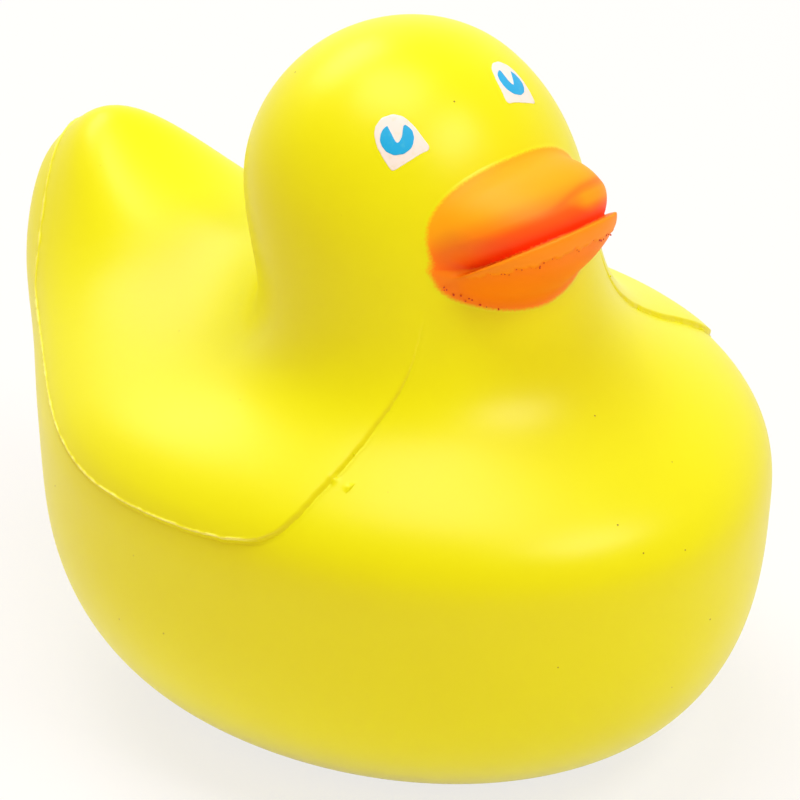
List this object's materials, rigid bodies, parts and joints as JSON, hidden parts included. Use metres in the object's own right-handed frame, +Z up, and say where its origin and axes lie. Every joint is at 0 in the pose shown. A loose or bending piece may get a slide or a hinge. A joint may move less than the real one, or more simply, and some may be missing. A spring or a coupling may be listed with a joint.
{
  "type": "foam squeeze toy duck",
  "caption": "Soft foam squeeze toy in the shape of a sitting duck, with an upturned tail, raised wings, a wide turned-up bill and a flat base to stand on.",
  "frame": {"origin": "on the flat base, under the middle of the duck's length and width", "axes": "+Z up, +X the way the duck faces, +Y to the duck's left"},
  "size_m": [0.0992, 0.071, 0.0773],
  "materials": {
    "yellow_foam": "satin moulded skin",
    "orange_paint": "sprayed satin paint on the bill",
    "white_ink": "pad-printed ink of the eyes",
    "blue_ink": "pad-printed ink of the irises"
  },
  "bodies": {
    "root": {"foam_duck": "yellow_foam"}
  },
  "joints": []
}
